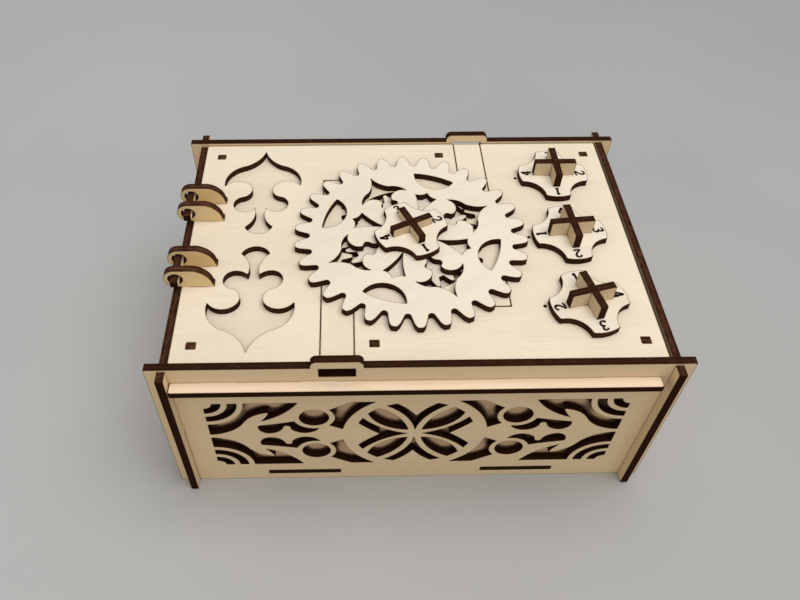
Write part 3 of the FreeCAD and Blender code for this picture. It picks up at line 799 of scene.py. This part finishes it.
@dataclass
class CaseBody:
    """The four walls, floor, liners and rails."""

    shop: Workshop
    plain: Tuple[str, ...] = ("front_wall", "back_wall", "floor_panel")
    sides: Tuple[str, ...] = ("left_wall", "right_wall")
    ledges: Tuple[str, ...] = ("front_rail", "back_rail")
    liners: Tuple[str, ...] = ("front_liner", "back_liner")

    def build(self) -> None:
        """Dress every piece of the case."""
        for node in self.plain:
            self.shop.dress_solid(node, Stock.HONEY)
        for node in self.sides:
            self.shop.dress_solid(node, Stock.HONEY_LIT_RIM)
        # The liners carry painted shade.
        for node in self.liners:
            self.shop.dress_solid(node, Stock.SHADED_LINER)
        for node in self.ledges:
            self.shop.dress_solid(node, Stock.PEACH)


@dataclass
class Lid:
    """The hinged lid with its posts, hinge fins and index dots."""

    shop: Workshop
    dots: IndexDots
    layers: Tuple[str, ...] = ("lid_base", "lid_top_left", "lid_top_right", "lid_cover")
    posts: int = 6
    fins: Tuple[str, ...] = ("back_outer", "back_inner", "front_inner", "front_outer")
    dot_reach: float = 16.4

    def build(self) -> None:
        """Dress the lid and burn its dots beside the dials."""
        for node in self.layers:
            self.shop.dress_solid(node, Stock.CREAM)
        for number in range(1, self.posts + 1):
            self.shop.dress_solid("lid_post_%d" % number, Stock.AMBER)
        for place in self.fins:
            self.shop.dress_solid("hinge_fin_" + place, Stock.AMBER)
        lid_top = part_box("lid_top_right")[1].z
        places = []
        for dial in DIAL_NAMES:
            middle = top_middle("dial_%s_plate" % dial)
            places.append(Vector((middle.x - self.dot_reach * MM, middle.y, lid_top)))
        self.shop.mark_piece(self.dots.build("index_dots", places), "lid")


@dataclass
class GearDrive:
    """The pierced gear, its knob, and what turns with them under the lid."""

    shop: Workshop
    numerals: Numerals
    turn: float = 25.0
    order: Tuple[int, ...] = (2, 3, 4, 1)

    def build(self) -> None:
        """Dress the gear train and burn the knob's numerals."""
        for node in ("drive_gear", "pinion", "lock_spider", "knob_plate"):
            self.shop.dress_solid(node, Stock.PALE, self.turn)
        for blade in BLADE_NAMES:
            self.shop.dress_solid("knob_blade_" + blade, Stock.BISCUIT)
        marks = self.numerals.build("knob_numerals", top_middle("knob_plate"), self.turn, self.order)
        self.shop.mark_piece(marks, "gear")


@dataclass
class Bolts:
    """The two bars that the pinion drives into the wall keepers."""

    shop: Workshop
    grain_turn: float = 90.0

    def build(self) -> None:
        """Dress both bolts, whose grain runs along their travel."""
        for node in ("front_bolt", "back_bolt"):
            self.shop.dress_solid(node, Stock.CREAM, self.grain_turn)


@dataclass
class Dial:
    """One numbered dial with its crossed blades and its lock disc."""

    shop: Workshop
    numerals: Numerals
    name: str
    turn: float
    order: Tuple[int, ...]

    def build(self) -> None:
        """Dress the dial and burn its numerals."""
        body = "dial_" + self.name
        for part in ("plate", "disc"):
            self.shop.dress_solid("%s_%s" % (body, part), Stock.PALE, self.turn)
        for blade in BLADE_NAMES:
            self.shop.dress_solid("%s_blade_%s" % (body, blade), Stock.BISCUIT)
        middle = top_middle(body + "_plate")
        marks = self.numerals.build(body + "_numerals", middle, self.turn, self.order)
        self.shop.mark_piece(marks, body)


@dataclass(frozen=True)
class SoftBox:
    """One soft lamp that faces the box, in metres and watts."""

    name: str
    place: Tuple[float, float, float]
    size: float
    power: float
    colour: Tuple[float, float, float]

    def build(self) -> None:
        """Hang the lamp."""
        lamp = bpy.data.lights.new(self.name, "AREA")
        lamp.shape = "SQUARE"
        lamp.size = self.size
        lamp.energy = self.power
        lamp.color = self.colour
        holder = bpy.data.objects.new(self.name, lamp)
        holder.location = self.place
        holder.rotation_euler = (-Vector(self.place)).to_track_quat("-Z", "Y").to_euler()
        bpy.context.scene.collection.objects.link(holder)


@dataclass
class Studio:
    """A pale table, two soft boxes and an even surround, in metres and watts."""

    floor_reach: float = 4.0
    floor_cells: int = 8
    surround: float = 0.45
    sky: Colour = (0.97, 0.99, 1.0, 1.0)
    lamps: Tuple[SoftBox, ...] = (
        SoftBox(
            "overhead_box",
            place=(0.28, -0.10, 1.10),
            size=0.8,
            power=7.7,
            colour=(1.0, 0.99, 0.97),
        ),
        SoftBox(
            "front_box",
            place=(-0.05, -0.95, 0.52),
            size=0.6,
            power=0.9,
            colour=(1.0, 0.80, 0.56),
        ),
    )

    def build(self) -> None:
        """Lay the table and set the light."""
        shape = bmesh.new()
        cells = {"x_segments": self.floor_cells, "y_segments": self.floor_cells}
        bmesh.ops.create_grid(shape, size=self.floor_reach, **cells)
        floor = finished_mesh("table", shape)
        floor.data.materials.append(TableTop().dress())
        world = bpy.data.worlds.new("surround")
        world.use_nodes = True
        background = world.node_tree.nodes["Background"]
        background.inputs["Strength"].default_value = self.surround
        background.inputs["Color"].default_value = self.sky
        bpy.context.scene.world = world
        for lamp in self.lamps:
            lamp.build()
        bpy.context.scene.view_settings.view_transform = "Standard"


@dataclass
class PhotoCamera:
    """The camera at the photograph's viewing angle, in metres and degrees, its lens in millimetres."""

    place: Tuple[float, float, float] = (-0.02519, -0.21266, 0.31194)
    aim: Tuple[float, float, float] = (-0.0202, 0.0053, 0.084)
    roll: float = 0.36
    lens: float = 33.83
    sensor_width: float = 36.0
    nearest: float = 0.01
    shift: Tuple[float, float] = (0.0481, -0.0883)

    def build(self) -> None:
        """Stand the camera and make it the scene's own."""
        data = bpy.data.cameras.new("photo_camera")
        data.sensor_width = self.sensor_width
        data.lens = self.lens
        data.shift_x, data.shift_y = self.shift
        data.clip_start = self.nearest
        camera = bpy.data.objects.new("photo_camera", data)
        camera.location = self.place
        camera.rotation_mode = "QUATERNION"
        look = (Vector(self.aim) - Vector(self.place)).to_track_quat("-Z", "Y")
        camera.rotation_quaternion = look @ Quaternion(UP, math.radians(self.roll))
        bpy.context.scene.collection.objects.link(camera)
        bpy.context.scene.camera = camera


def main() -> None:
    """Build the sub-assemblies in order."""
    logging.basicConfig(level=logging.INFO)
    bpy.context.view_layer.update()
    shop = Workshop(BirchPly(), BurntMark().dress())
    numerals = Numerals()
    CaseBody(shop).build()
    Lid(shop, IndexDots()).build()
    GearDrive(shop, numerals).build()
    Bolts(shop).build()
    Dial(shop, numerals, "back", turn=0.0, order=(2, 3, 4, 1)).build()
    Dial(shop, numerals, "middle", turn=5.0, order=(3, 4, 1, 2)).build()
    Dial(shop, numerals, "front", turn=14.0, order=(4, 1, 2, 3)).build()
    Studio().build()
    PhotoCamera().build()


if __name__ == "__main__":
    main()
